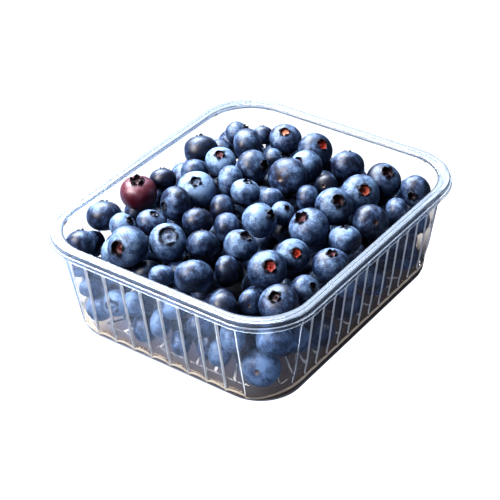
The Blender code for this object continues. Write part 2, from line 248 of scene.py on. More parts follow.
def tray_levels():
    """The loops of the sheet's inner and upper face, each with its painted bend shade and painted
    warm reflection.
    """
    loops = []
    for inset, z, painted_bend_shade in RIM_SECTION:
        corner = RIM_CORNER - inset if inset < 2.0 else MOUTH_CORNER
        loops.append((tray_loop(inset, corner, z), painted_bend_shade, 0.0))

    def wall(z, flute, lift, painted_warm_reflection):
        inset = wall_inset(z) + SHEET
        crest = CREST_AT_FOOT + CREST_GROWTH * z / SKIRT_EDGE
        far = min(max((FAR_FLUTE_TOP - z) / FAR_FLUTE_FADE, 0.0), 1.0)
        loop = tray_loop(inset, wall_corner(z) - SHEET, z, flute, lift, crest, far)
        loops.append((loop, 0.0, painted_warm_reflection))

    for z, flute in ((42.2, 0), (40.0, 0), (38.6, 0.1), (38.0, 0.4), (37.2, 0.8)):
        wall(z, flute, 0.0, 0.0)
    for z in (36.4, 33.0, 29.5, 26.0, 22.0, 14.0):
        wall(z, 1.0, 0.0, 0.0)
    # The third number is how much painted warm reflection the level takes.
    for z, flute, painted_warm_reflection in (
        (5.2, 1.0, 0.1),
        (4.2, 0.92, 0.3),
        (3.4, 0.55, 0.6),
        (2.9, 0.18, 0.9),
        (2.6, 0.0, 1.0),
    ):
        wall(z, flute, 1.0, painted_warm_reflection)
    foot = wall_inset(2.4) + SHEET
    # Foot and rail rows: inset, height, painted shade of the bend, and lift; all take the full
    # painted warm reflection.
    for inset, z, painted_bend_shade, lift in (
        (foot - 0.02, 2.30, 0.0, 0.9),
        (foot + 0.10, 2.15, 0.8, 0.7),
        (foot + 0.25, 1.85, 0.9, 0.45),
        (foot + 0.42, 1.45, 0.6, 0.2),
        (foot + 0.85, 0.95, 0.1, 0.0),
        (foot + 1.5, SHEET, 0.1, 0.0),
        (12.1, SHEET, 0.5, 0.0),
        (12.5, 0.75, 0.5, 0.0),
        (12.8, 1.4, 0.3, 0.0),
        (13.2, 3.2, 0.2, 0.0),
        (13.5, 3.9, 0.2, 0.0),
        (14.0, FLOOR_TOP, 0.1, 0.0),
    ):
        loop = tray_loop(inset, WALL_CORNER_FOOT + 8.0 - inset, z, lift=lift)
        loops.append((loop, painted_bend_shade, 1.0))
    rail = loops[-1][0]
    # The floor of the tray takes a little painted warm reflection.
    for share in (0.9, 0.6, 0.3):
        loop = [(x * share, y * share, FLOOR_TOP + 0.1) for x, y, _ in rail]
        loops.append((loop, 0.0, 0.3))
    return loops


levels = tray_levels()
print("levels in the sheet:", len(levels))

# %% [markdown]
# ## Giving the sheet its thickness
#
# The loops are joined with quads into one open surface. Solidify then offsets it to
# the outside, so that flutes and steps show on both faces as they do on a drawn
# sheet. The result is taken as a plain mesh, and edges that turn sharply, such as the
# cut edge of the skirt, are marked sharp so that light breaks on them.
#
# Plastic goes white where drawing has stretched it most, along the ribs, and looks
# milkier on the broad flange. The band along the foot line is milky and golden, a
# painted warm reflection. Each face is given one of five finishes here, because how
# clear a glass shader is has to be one plain number for the whole material.

# %% Which faces are ribs


def rib_marks():
    """For each point round the tray, how far it is from a rib, 0 on it, 0.5 mid panel."""
    marks = []
    for stations in (short_stations, long_stations) * 2:
        marks.extend(min(share, 1 - share) for _, _, share in stations)
        marks.extend([0.5] * CORNER_STEPS)
    return marks


rib_places = rib_marks()
print("points on ribs:", sum(mark == 0 for mark in rib_places))

# %% The finish of each face
PLASTICS = ("clear_sheet", "whitened_rib", "thick_rim", "painted_warm_foot_line", "milky_flange")
SHEET_FINISH, RIB_FINISH, RIM_FINISH, PAINTED_WARM_LINE_FINISH, FLANGE_FINISH = range(len(PLASTICS))
WHITE_REACH = 0.05
RIB_FOOT, RIB_TOP, FAR_RIB_TOP = 4.0, 38.3, 31.0
FOOT_LINE_LOW, FOOT_LINE_HIGH = 2.2, 2.7
FLANGE_LOWEST, FLANGE_INNER = 43.12, 3.9


def level_finish(level, z):
    """The finish between a level at height z and the next, away from the ribs."""
    if level < len(RIM_SECTION) - 1:
        on_flange = z > FLANGE_LOWEST and RIM_SECTION[level][0] < FLANGE_INNER
        return FLANGE_FINISH if on_flange else RIM_FINISH
    # The band along the foot line is tinted gold, a painted warm reflection.
    return PAINTED_WARM_LINE_FINISH if FOOT_LINE_LOW < z < FOOT_LINE_HIGH else SHEET_FINISH


def on_rib(k, after, count, level, z):
    """True where a face between two points round the tray lies on a whitened rib."""
    top = FAR_RIB_TOP if k > count // 2 else RIB_TOP
    if level < len(RIM_SECTION) or not RIB_FOOT < z < top:
        return False
    return 0.5 * (rib_places[k] + rib_places[after]) < WHITE_REACH


print("finishes:", PLASTICS)

# %% Build the clear tray


def sheet_object(name, loops):
    """An open surface through the loops, closed in the middle of the floor."""
    count = len(loops[0][0])
    points = [Vector(point) * MM for loop, _, _ in loops for point in loop]
    faces, finishes = [], []
    for level in range(len(loops) - 1):
        low, high = level * count, (level + 1) * count
        z = loops[level][0][0][2]
        plain = level_finish(level, z)
        for k in range(count):
            after = (k + 1) % count
            faces.append((low + k, low + after, high + after, high + k))
            finishes.append(RIB_FINISH if on_rib(k, after, count, level, z) else plain)
    last = (len(loops) - 1) * count
    faces.append([last + k for k in range(count)])
    finishes.append(SHEET_FINISH)
    mesh = bpy.data.meshes.new(name)
    mesh.from_pydata(points, [], faces)
    # Painted shade along tight bends and painted warm reflection towards the foot, stored on the
    # points.
    for label, column in (("painted_bend_shade", 1), ("painted_warm_reflection", 2)):
        values = np.repeat([loop[column] for loop in loops], count)
        marks = mesh.attributes.new(label, "FLOAT", "POINT")
        marks.data.foreach_set("value", values.astype(np.float32))
    mesh.polygons.foreach_set("material_index", np.array(finishes, np.int32))
    mesh.update()
    piece = bpy.data.objects.new(name, mesh)
    bpy.context.scene.collection.objects.link(piece)
    return piece


def keep_modifiers(piece, sharp_degrees):
    """Swap the piece's mesh for its modified one and mark its sharp edges."""
    view = bpy.context.evaluated_depsgraph_get()
    made = bpy.data.meshes.new_from_object(piece.evaluated_get(view))
    piece.modifiers.clear()
    piece.data = made
    made.shade_smooth()
    made.set_sharp_from_angle(angle=math.radians(sharp_degrees))


clear_tray = sheet_object("clear_tray", levels)
for name in PLASTICS:
    clear_tray.data.materials.append(bpy.data.materials.new(name))
thickness = clear_tray.modifiers.new("sheet", "SOLIDIFY")
thickness.thickness = SHEET * MM
thickness.offset = -1.0
keep_modifiers(clear_tray, 50)
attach(clear_tray, "root")
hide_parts("punnet")
print("clear tray faces:", len(clear_tray.data.polygons))

# %% [markdown]
# ## Where the berries lie
#
# The top of the heap is what one sees first, so each berry there has a row in a
# table: where it is, how wide, how far it stands above the mound, and which way its
# crown points. Simulating several hundred rigid bodies would also fill the tray, but
# it would put a different berry on top each time the sizes change. The berries under
# them are laid in loose layers and pushed apart until nothing overlaps.
#
# The rows were not chosen freely. Nearly all the places and widths, and over half of
# the crown directions on top, are rounded from what a separate fitting program gave.
# The kinds of crown and the amounts of bloom were judged.

# %% The berries on top
# x, y, width, height above the mound, crown turn, crown lean, kind, bloom in tenths
TOP_BERRIES = (
    # back corner and back edge
    (-39, 41, 11, 0, 30, 50, "black", 3), (-32, 50, 9, -3, 125, 45, "small", 4),
    (-18, 48, 14, 0, -60, 22, "cream", 4), (0, 47, 15, 0, -5, 42, "star", 3),
    (17, 43, 14, 0, 125, 45, "small", 3), (35, 42, 15, 0, -20, 25, "black", 2),
    (47, 46, 13, 0, -75, 82, "small", 3),
    # second row from the back
    (-43, 21, 14, 0, 130, 40, "small", 2), (-27, 32, 14, 0, 40, 85, "small", 4),
    (-14, 33, 10, -4, 45, 60, "small", 5), (4, 30, 14, -1, -110, 45, "small", 7),
    (15, 29, 10, -4, 110, 125, "small", 2), (32, 27, 16, 0, -35, 45, "cream", 6),
    (47, 32, 11, -3, 215, 90, "small", 5),
    # across the middle
    (-37, 10, 12, -4, 135, 50, "small", 5), (-28, 14, 13, 1, -60, 22, "folded", 8),
    (-14, 18, 14, 0, 5, 68, "black", 4), (5, 16, 16, 1, 95, 110, "small", 5),
    (18, 12, 12, -1, 30, 85, "small", 3), (31, 11, 15, 2, -30, 38, "black", 6),
    (45, 16, 14, 0, 145, 117, "small", 4),
    (-42, -6, 11, 0, 125, 45, "small", 3), (-23, -7, 16, -1, -55, 24, "thin", 9),
    (-15, 4, 13, -1, 220, 85, "small", 6), (-3, 1, 12, -1, 60, 15, "thin", 6),
    (4, 4, 10, -1, 130, 35, "small", 5), (-9, -7, 12, -5, 40, 95, "small", 3),
    (14, 0, 10, -4, 0, 35, "small", 6), (30, -5, 16, 0, -120, 30, "black", 5),
    (44, -1, 13, 0, 120, 15, "thin", 4),
    # second row from the front
    (-44, -19, 15, 0, -70, 6, "maroon", 1), (-24, -21, 14, 0, -110, 80, "thin", 3),
    (-9, -25, 12, -2, 130, 55, "small", 2), (1, -19, 12, -6, 40, 80, "small", 6),
    (12, -13, 14, 0, 15, 53, "black", 8), (15, -30, 13, 0, 25, 26, "wide", 6),
    (34, -23, 13, 0, -35, 46, "star", 6), (48, -17, 14, 0, -30, 7, "folded", 4),
    (-46, -38, 14, -1, 130, 40, "small", 3), (-34, -40, 11, -1, 25, 45, "black", 8),
    (-27, -32, 12, -1, 25, 18, "thin", 4), (-11, -41, 15, -1, -45, 31, "ring", 7),
    (2, -37, 13, 0, 125, 50, "small", 3), (16, -41, 12, -4, 35, 90, "small", 2),
    (31, -37, 15, 0, -40, 44, "wide_red", 5), (48, -35, 11, 0, 0, 51, "small", 5),
    # along the front edge
    (-43, -57, 12, 0, 130, 35, "small", 4), (-32, -49, 11, -6, 215, 80, "small", 7),
    (-21, -53, 16, 2, -90, 66, "deep", 6), (-4, -55, 10, -3, 125, 50, "small", 5),
    (11, -53, 15, 0, 130, 55, "small", 5), (27, -57, 12, -3, 40, 85, "small", 3),
    (33, -49, 9, -4, 120, 100, "small", 6), (45, -47, 15, 0, -85, 31, "small", 4),
)
# Berries resting against the front and right walls: x, y, z, width, turn, lean, kind
WALL_BERRIES = (
    (-38, -59, 20, 9, 130, 60, "small"), (-25, -58, 17, 11, -80, 75, "ring"),
    (-17, -59, 23, 10, 40, 85, "small"), (-5, -58, 17, 11, 215, 80, "small"),
    (4, -60, 29, 10, 130, 50, "small"), (6, -57, 11, 10, 40, 90, "small"),
    (17, -59, 26, 11, 125, 60, "small"), (24, -57, 14, 12, -150, 75, "thin"),
    (31, -58, 26, 12, 40, 85, "small"), (39, -54, 13, 15, 110, 110, "small"),
    (46, -50, 26, 14, 130, 55, "small"), (49, -41, 22, 11, 40, 85, "small"),
    (50, -9, 26, 8, 130, 60, "small"), (50, 4, 24, 9, 150, 70, "small"),
)
print("berries with a row of their own:", len(TOP_BERRIES) + len(WALL_BERRIES))

# %% The mound and the room inside the tray
EDGE_LEVEL, CROWN_RISE = 39.0, 8.0
FRUIT_CLEARANCE = SHEET + SCOOP_SHORT_WALL


def mound(x, y):
    """Height of the centres of the top berries over the plan."""
    across = np.maximum(1 - (x / 57.0) ** 2, 0)
    along = np.maximum(1 - (y / 67.0) ** 2, 0)
    return EDGE_LEVEL + CROWN_RISE * across * along


def wall_room(spots):
    """Room to the wall's inner face at each spot, and the way straight in from it."""
    level = np.clip(spots[:, 2], FLOOR_TOP, SKIRT_EDGE)
    inset = WALL_INSET + WALL_DRAFT * (SKIRT_EDGE - level) + FRUIT_CLEARANCE
    corner = WALL_CORNER_FOOT - FRUIT_CLEARANCE
    past_x = np.abs(spots[:, 0]) - (HALF_X - inset - corner)
    past_y = np.abs(spots[:, 1]) - (HALF_Y - inset - corner)
    out_x = np.maximum(past_x, 0)
    out_y = np.maximum(past_y, 0)
    reach = np.sqrt(out_x * out_x + out_y * out_y)
    room = corner - reach - np.minimum(np.maximum(past_x, past_y), 0)
    flat = reach == 0
    way_x = np.where(flat, np.where(past_x > past_y, 1.0, 0.0), out_x)
    way_y = np.where(flat, np.where(past_x > past_y, 0.0, 1.0), out_y)
    length = np.sqrt(way_x * way_x + way_y * way_y)
    way_x = -np.sign(spots[:, 0]) * way_x / length
    way_y = -np.sign(spots[:, 1]) * way_y / length
    return room, way_x, way_y


print("middle of the mound:", float(mound(np.float64(0), np.float64(0))), "mm")

# %% Loose layers under the top
FILL_LAYERS = (10.5, 20.5, 31.0)
FILL_PITCH_X, FILL_PITCH_Y = 12.6, 11.2
FILL_START_X, FILL_START_Y, LAYER_SHIFT = -56, -58, 3
SMALLEST, LARGEST, JITTER = 5.3, 7.3, 1.5
# A loose berry is left out where it would reach too far into a wall or a placed berry.
WALL_SHARE, TOUCH_SHARE = 0.55, 0.72


def first_places():
    """The placed berries, then loose layers filling the rest of the tray."""
    rng = random.Random(5)
    spots, sizes = [], []
    for x, y, width, above, *_ in TOP_BERRIES:
        spots.append((x, y, float(mound(np.float64(x), np.float64(y))) + above))
        sizes.append(width / 2)
    for x, y, z, width, *_ in WALL_BERRIES:
        spots.append((x, y, z))
        sizes.append(width / 2)
    placed = len(spots)
    for layer, z in enumerate(FILL_LAYERS):
        rows = int((2 * HALF_Y - 10) / FILL_PITCH_Y) + 1
        columns = int((2 * HALF_X - 8) / FILL_PITCH_X)
        for row in range(rows):
            for column in range(columns):
                size = rng.uniform(SMALLEST, LARGEST)
                x = FILL_START_X + FILL_PITCH_X * (column + 0.5 * ((row + layer) % 2))
                y = FILL_START_Y + LAYER_SHIFT * layer + FILL_PITCH_Y * row
                x += rng.uniform(-JITTER, JITTER)
                y += rng.uniform(-JITTER, JITTER)
                spot = np.array([(x, y, z + rng.uniform(-JITTER, JITTER))])
                if wall_room(spot)[0][0] < WALL_SHARE * size:
                    continue
                gap = np.array(spots[:placed]) - spot
                distance = np.sqrt((gap * gap).sum(1))
                if (distance < TOUCH_SHARE * (np.array(sizes[:placed]) + size)).any():
                    continue
                spots.append(tuple(spot[0]))
                sizes.append(size)
    return np.array(spots, float), np.array(sizes, float), placed


start_spots, berry_sizes, placed_count = first_places()
print("berries:", len(start_spots), "of them placed:", placed_count)

# %% Push the berries apart until they lie together
PUSH, SINK, LID_PUSH = 0.3, 0.02, 0.5
LONGEST_MOVE, PLACED_EASE, PLACED_REACH = 0.6, 0.15, 1.2
# Loose berries stay this far under the mound, and further at the back and the left.
LID_DROP, LID_DROP_BESIDE, BACK_FROM, LEFT_FROM = 5.5, 4.0, 50, -46


def settle(spots, sizes, placed, steps=260):
    """Part overlapping berries, off walls and floor, while placed ones hardly move."""
    start = spots[:placed].copy()
    count = len(spots)
    loose = np.arange(count) >= placed
    touch = sizes[:, None] + sizes[None]
    apart = np.eye(count) * 1000.0
    for _ in range(steps):
        gap = spots[:, None] - spots[None]
        distance = np.sqrt((gap * gap).sum(2)) + apart
        overlap = np.maximum(touch - distance, 0)
        move = (gap * (PUSH * overlap / distance)[..., None]).sum(1)
        room, way_x, way_y = wall_room(spots)
        pressed = np.maximum(sizes - room, 0)
        move[:, 0] += way_x * pressed
        move[:, 1] += way_y * pressed
        move[:, 2] += np.maximum(FLOOR_TOP + sizes - spots[:, 2], 0)
        beside = (spots[:, 1] > BACK_FROM) | (spots[:, 0] < LEFT_FROM)
        lid = mound(spots[:, 0], spots[:, 1]) - LID_DROP - LID_DROP_BESIDE * beside
        move[:, 2] -= loose * (LID_PUSH * np.maximum(spots[:, 2] - lid, 0) + SINK)
        ease = np.where(loose, 1.0, PLACED_EASE)[:, None]
        spots = spots + np.clip(move, -LONGEST_MOVE, LONGEST_MOVE) * ease
        strayed = np.clip(spots[:placed] - start, -PLACED_REACH, PLACED_REACH)
        spots[:placed] = start + strayed
    return spots


berry_spots = settle(start_spots, berry_sizes, placed_count)
print("highest berry:", round(float((berry_spots[:, 2] + berry_sizes).max()), 1), "mm")

# %% [markdown]
# ## Growing a berry
#
# A blueberry is a ball a little flatter than round. At the flower end five small
# sepals stand round a cup: spread wide on some berries, folded in to a star on
# others. At the other end is a small dry scar where the stalk was. Sculpting one and
# copying it would repeat the same crown, so each berry is turned from rows of points
# like a pot, with its own proportions, and the rows round the crown swell and dip
# five times on the way round. Marks for cup, sepal and scar go with the points, so
# the material knows which part it is on. The sepal mark also runs down the cup's
# inner wall, where it paints shade. Wax lasts longest near the crown, so the
# rows also carry a frost that fades towards the scar.

# %% Crowns by kind
# ring: half width of the crown, cup: its depth, tip: length of the sepals,
# lean: how far their tips lie out (+) or in (-), ember: how red the cup is,
# dusty: how much bloom has settled inside it
CROWN_VALUES = ("ring", "cup", "tip", "lean", "ember", "dusty")
CROWN_KINDS = {
    "small": (0.26, 0.20, 0.12, -0.05, 0.1, 0.1),
    "thin": (0.27, 0.10, 0.09, -0.15, 0.0, 0.9),
    "black": (0.31, 0.24, 0.20, -0.10, 0.45, 0.1),
    "star": (0.31, 0.12, 0.07, -0.30, 0.85, 0.0),
    "cream": (0.31, 0.14, 0.08, -0.20, 1.0, 0.1),
    "folded": (0.29, 0.14, 0.15, -0.20, 0.6, 0.3),
    "deep": (0.36, 0.26, 0.10, -0.15, 0.45, 0.0),
    "wide": (0.36, 0.16, 0.14, -0.15, 0.15, 0.5),
    "wide_red": (0.34, 0.11, 0.10, -0.25, 0.85, 0.3),
    "ring": (0.46, 0.09, 0.07, -0.10, 0.0, 1.0),
    "maroon": (0.34, 0.16, 0.26, 0.05, 0.2, 0.0),
}
CROWNS = {kind: dict(zip(CROWN_VALUES, sizes)) for kind, sizes in CROWN_KINDS.items()}
SHOULDER_POWER = 2.3
CROWN_REACH = 1.34


def body_height(radius, flat):
    """Height of the berry's flattened, square-shouldered ball over a radius."""
    inner = np.maximum(1 - radius**SHOULDER_POWER, 0)
    return flat * inner ** (1 / SHOULDER_POWER)


def sepal_outline(around, rng):
    """How far the five sepals reach on the way round, each a little different."""
    reach = [rng.uniform(0.55, 1.2) for _ in range(5)]
    width = [rng.uniform(0.85, 1.0) for _ in range(5)]
    outline = np.zeros(around)
    for k in range(around):
        place = 5.0 * k / around
        lobe = int(place + 0.5) % 5
        off = abs(place - round(place)) * 2 / width[lobe]
        outline[k] = reach[lobe] * max(0.0, 1 - off**1.6)
    return outline


def crown_rows(flat, crown, lobe):
    """Rows from the middle of the cup over the sepals: radius, height, cup, and the sepal mark,
    which also paints shade on the cup's inner wall.
    """
    ring, depth, tip, lean = crown["ring"], crown["cup"], crown["tip"], crown["lean"]
    top = float(body_height(np.float64(ring), flat))
    floor = top - depth
    raised = np.minimum(0.35 + lobe * 2, 1)
    skirt, hem = ring * 1.22, ring * CROWN_REACH
    return [
        (0.04 * ring, floor + 0.035, 1.0, 0.0),
        (0.13 * ring, floor + 0.03, 1.0, 0.0),
        (0.20 * ring, floor + 0.004, 1.0, 0.0),
        (0.50 * ring, floor, 1.0, 0.0),
        # The cup's inner wall takes the sepal mark, rising towards the lip: black sepal bases and
        # painted shade in the cup.
        (0.76 * ring, floor + 0.10 * depth, 1.0, 0.35),
        (0.89 * ring, floor + 0.40 * depth, 1.0, 0.9),
        (0.94 * ring, top - 0.10 * depth, 0.4, 1.0),
        (ring * (0.97 + 0.5 * lean * lobe), top + 0.55 * tip * lobe, 0.0, raised),
        (ring * (1.00 + lean * lobe), top + tip * lobe + 0.01, 0.0, raised),
        (ring * (1.06 + lean * lobe), top + tip * lobe, 0.0, raised),
        (ring * (1.09 + 0.5 * lean * lobe), top + 0.45 * tip * lobe, 0.0, raised),
        (ring * 1.13, top + 0.004, 0.0, np.minimum(0.3 + lobe, 1)),
        (skirt, body_height(skirt, flat), 0.0, np.clip(1.7 * lobe - 0.5, 0, 1)),
        (hem, body_height(hem, flat), 0.0, np.clip(2.4 * lobe - 1.7, 0, 1)),
    ]


print("kinds of crown:", len(CROWNS))

# %% The rest of the berry
# The dry scar: radius, height above the berry's foot, and how brown.
SCAR_ROWS = ((0.150, 0.004, 0.4), (0.115, 0.014, 1.0), (0.080, 0.050, 1.0), (0.020, 0.055, 1.0))


def berry_rows(down, flat, crown, lobe):
    """Rows from the cup to the stem scar: radius, height, cup, sepal and painted cup shade, scar,
    frost.
    """
    rows = [(*row, 0.0, 1.0) for row in crown_rows(flat, crown, lobe)]
    first = math.asin(crown["ring"] * CROWN_REACH)
    for step in range(1, down + 1):
        angle = first + (math.pi - 0.2 - first) * step / down
        side = math.sin(angle)
        height = float(body_height(np.float64(side), flat))
        if angle > math.pi / 2:
            height *= -0.97
        frost = math.cos(angle) if angle < math.pi / 2 else 0.1 * math.cos(angle)
        rows.append((side, height, 0.0, 0.0, 0.0, frost))
    low = -flat * 0.965
    for radius, rise, scar in SCAR_ROWS:
        rows.append((radius, low + rise, 0.0, 0.0, scar, 0.0))
    none = 0.0 * lobe
    return [tuple(value + none for value in row) for row in rows]


# Waves round a berry: how many, how high, and how fast they turn with height.
BULGES = ((2, 0.014, 0), (3, 0.011, 2), (5, 0.007, 4))


def grow_berry(around, down, size, kind, rng):
    """Points of one berry, crown up, in millimetres, and its marks."""
    crown = dict(CROWNS[kind])
    crown["ring"] *= rng.uniform(0.93, 1.08)
    crown["cup"] *= rng.uniform(0.85, 1.15)
    flat = rng.uniform(0.76, 0.88)
    lobe = sepal_outline(around, rng)
    turn = np.arange(around) * (2 * math.pi / around)
    phases = [rng.uniform(0, 2 * math.pi) for _ in range(4)]
    stretch = rng.uniform(-0.03, 0.03)
    points, marks = [], []
    for radius, height, cup, sepal_and_cup_shade, scar, frost in berry_rows(down, flat, crown, lobe):
        bulge = 1
        for (waves, swell, climb), phase in zip(BULGES, phases):
            bulge = bulge + swell * np.sin(waves * turn + phase + climb * height) * radius
        x = np.cos(turn) * radius * bulge * (1 + stretch)
        y = np.sin(turn) * radius * bulge * (1 - stretch)
        z = height * (1 + 0.03 * np.sin(turn + phases[-1]) * radius)
        points.append(np.stack([x, y, z], 1) * size)
        marks.append(np.stack([cup, sepal_and_cup_shade, scar, frost], 1))
    return np.concatenate(points), np.concatenate(marks)


def berry_faces(around, count):
    """Quads between the rows, with the cup and the scar closed by one face each."""
    faces = [tuple(range(around))]
    for row in range(count // around - 1):
        for k in range(around):
            a, b = row * around + k, row * around + (k + 1) % around
            faces.append((a, a + around, b + around, b))
    faces.append(tuple(range(count - 1, count - 1 - around, -1)))
    return faces


sample, _ = grow_berry(60, 17, 7.0, "star", random.Random(1))
print("points on one fine berry:", len(sample))

# %% [markdown]
# ## Joining berries into pieces
#
# Several hundred separate objects would be slow to handle, and instances don't
# survive an export, so berries of one kind are joined into one mesh. What changes
# from berry to berry, such as how much bloom it still carries or how purple it has
# ripened, is stored on its points as named values that the material reads.

# %% Turn, place and join
FROST_SWING, FROST_MIDDLE = 0.28, 0.3
BERRY_VALUES = ("cup", "sepal_and_cup_shade", "scar", "bloom", "purple", "ember", "dusty")


def crown_turn(turn_degrees, lean_degrees, spin):
    """A rotation that points the crown and spins the berry about it."""
    lean = Matrix.Rotation(math.radians(lean_degrees), 3, "Y")
    turn = Matrix.Rotation(math.radians(turn_degrees), 3, "Z")
    about = Matrix.Rotation(spin, 3, "Z")
    return np.array(turn @ lean @ about)


def join_berries(name, berries, around, down):
    """One mesh from berries given as spot, size, turn, lean, kind, bloom, purple, seed."""
    points, faces, marks, nature = [], [], [], []
    start = 0
    for spot, size, turn, lean, kind, bloom, purple, seed in berries:
        rng = random.Random(seed)
        shape, mark = grow_berry(around, down, size, kind, rng)
        rotation = crown_turn(turn, lean, rng.uniform(0, 6.28))
        turned = np.stack([(shape * rotation[k]).sum(1) for k in range(3)], 1)
        ember = CROWNS[kind]["ember"] * rng.uniform(0.8, 1.0)
        values = np.tile((bloom, purple, ember, CROWNS[kind]["dusty"]), (len(shape), 1))
        values[:, 0] += FROST_SWING * (mark[:, 3] - FROST_MIDDLE)
        points.append(turned + spot)
        marks.append(mark[:, :3])
        nature.append(values)
        for face in berry_faces(around, len(shape)):
            faces.append(tuple(start + k for k in face))
        start += len(shape)
    mesh = bpy.data.meshes.new(name)
    mesh.from_pydata((np.concatenate(points) * MM).tolist(), [], faces)
    columns = np.concatenate([np.concatenate(marks), np.concatenate(nature)], 1)
    for column, label in enumerate(BERRY_VALUES):
        values = mesh.attributes.new(label, "FLOAT", "POINT")
        values.data.foreach_set("value", columns[:, column].astype(np.float32))
    mesh.shade_smooth()
    piece = bpy.data.objects.new(name, mesh)
    bpy.context.scene.collection.objects.link(piece)
    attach(piece, "root")
    return piece


print("values on each point:", BERRY_VALUES)

# %% Sort the berries into pieces
BEHIND_WALL = 5.0
CORE_DEPTH, CORE_COVER = 20.0, 26.0
PIECE_OF = {
    "small": "small_crown_berries",
    "thin": "thin_crown_berries",
    "black": "black_crown_berries",
    "star": "red_heart_berries",
    "cream": "red_heart_berries",
    "folded": "red_heart_berries",
    "deep": "red_heart_berries",
    "wide": "wide_crown_berries",
    "wide_red": "wide_crown_berries",
    "ring": "wide_crown_berries",
    "maroon": "maroon_berry",
}
sorted_berries = {}
wall_list, buried_list = [], []
rng = random.Random(23)


def berry(k, turn, lean, kind, bloom, purple):
    """All that join_berries has to know about settled berry k."""
    return berry_spots[k], berry_sizes[k], turn, lean, kind, bloom, purple, 100 + k


for k, row in enumerate(TOP_BERRIES):
    turn, lean, kind, bloom = row[4:]
    grown = berry(k, turn, lean, kind, bloom / 10, rng.uniform(0.0, 0.35))
    sorted_berries.setdefault(PIECE_OF[kind], []).append(grown)
for k, row in enumerate(WALL_BERRIES, len(TOP_BERRIES)):
    bloom, purple = rng.uniform(0.6, 1.0), rng.uniform(0.0, 0.4)
    wall_list.append(berry(k, *row[4:], bloom, purple))
loose_room, _, _ = wall_room(berry_spots)
for k in range(placed_count, len(berry_spots)):
    turn, lean = rng.uniform(0, 360), rng.uniform(20, 160)
    kind = rng.choice(("small", "small", "thin", "black"))
    bloom, purple = rng.uniform(0.2, 0.7), rng.uniform(0.0, 0.6)
    if loose_room[k] < berry_sizes[k] + BEHIND_WALL:
        wall_list.append(berry(k, turn, lean, kind, bloom, purple))
    elif loose_room[k] < CORE_DEPTH or berry_spots[k][2] > CORE_COVER:
        buried_list.append(berry(k, turn, lean, kind, bloom, purple))
print({name: len(found) for name, found in sorted_berries.items()})
print("against the walls:", len(wall_list), "under the top:", len(buried_list))

# %% Make the berry pieces
# Points round a berry and rows down it: fewer where it is seen less closely.
FINE, MIDDLING, COARSE = (85, 17), (35, 13), (25, 9)
berry_pieces = []
for name, found in sorted_berries.items():
    berry_pieces.append(join_berries(name, found, *FINE))
berry_pieces.append(join_berries("wall_berries", wall_list, *MIDDLING))
berry_pieces.append(join_berries("buried_berries", buried_list, *COARSE))
for piece in berry_pieces:
    print(piece.name, len(piece.data.polygons), "faces")

# %% [markdown]
# ## A dark heart to the heap
#
# Deep inside the heap no berry can be seen, only the dark between them. A lumpy dark
# core stands there in place of the berries that never show, well under the surface.

# %% The core


def lumpy_core(name, half_x, half_y, low, high):
    """A rounded block with a wavy surface, well inside the outer berries."""
    points, faces = [], []
    rings, around = 14, 48
    for row in range(rings):
        share = row / (rings - 1)
        z = low + (high - low) * share
        pull = 1.0 - 0.12 * (2 * share - 1) ** 4
        for k in range(around):
            angle = 2 * math.pi * k / around
            c, s = math.cos(angle), math.sin(angle)
            wave = 1 + 0.03 * math.sin(5 * angle + 7 * share)
            x = math.copysign(abs(c) ** 0.45, c) * half_x * pull * wave
            y = math.copysign(abs(s) ** 0.45, s) * half_y * pull * wave
            points.append(Vector((x, y, z)) * MM)
    for row in range(rings - 1):
        for k in range(around):
            a, b = row * around + k, row * around + (k + 1) % around
            faces.append((a, b, b + around, a + around))
    faces.append(tuple(range(around - 1, -1, -1)))
    faces.append(tuple((rings - 1) * around + k for k in range(around)))
    mesh = bpy.data.meshes.new(name)
    mesh.from_pydata(points, [], faces)
    mesh.shade_smooth()
    core = bpy.data.objects.new(name, mesh)
    bpy.context.scene.collection.objects.link(core)
    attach(core, "root")
    return core


heap_core = lumpy_core("heap_core", half_x=33, half_y=43, low=10.0, high=30.0)
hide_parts("berry_heap")
print("core faces:", len(heap_core.data.polygons))

# %% [markdown]
# ## Bloom on the skin
#
# A blueberry's skin is nearly black-blue. What makes it look pale is bloom, a thin
# wax that lies in soft patches, is rubbed away where berries touched, and is finely
# speckled. It could be one noise, but its three sizes come and go separately, so
# three noises are added to how much wax the berry carries. The same wax lies on the
# maroon berry, so it is one node group, used by both skins with their own amounts.

# %% Small helpers for nodes


def new_tree(name):
    """A material with an empty node tree."""
    material = bpy.data.materials.new(name)
    material.use_nodes = True
    material.node_tree.nodes.clear()
    return material, material.node_tree


def add(tree, kind, **settings):
    """A node with settings; names of inputs are given as input_NAME=value."""
    node = tree.nodes.new(kind)
    for label, value in settings.items():
        if label.startswith("input_"):
            node.inputs[label[6:].replace("_", " ")].default_value = value
        else:
            setattr(node, label, value)
    return node


def feed(tree, socket, given):
    """Link an output to a socket, or set a number or a colour on it."""
    if isinstance(given, bpy.types.NodeSocket):
        tree.links.new(given, socket)
    elif isinstance(given, tuple) and socket.type == "RGBA":
        socket.default_value = (*given, 1.0)
    else:
        socket.default_value = given


print("node helpers ready")

# %% Helpers that mix and reckon


def maths(tree, operation, first, second=0.0, clamp=False):
    """The result of one sum on two numbers or sockets."""
    node = add(tree, "ShaderNodeMath", operation=operation, use_clamp=clamp)
    feed(tree, node.inputs[0], first)
    feed(tree, node.inputs[1], second)
    return node.outputs[0]


def ranged(tree, value, source=(0.0, 1.0), target=(0.0, 1.0), how="LINEAR"):
    """A value moved from one range to another and held at its ends."""
    node = add(tree, "ShaderNodeMapRange", interpolation_type=how)
    labels = ("Value", "From Min", "From Max", "To Min", "To Max")
    for label, given in zip(labels, (value, *source, *target)):
        feed(tree, node.inputs[label], given)
    return node.outputs["Result"]


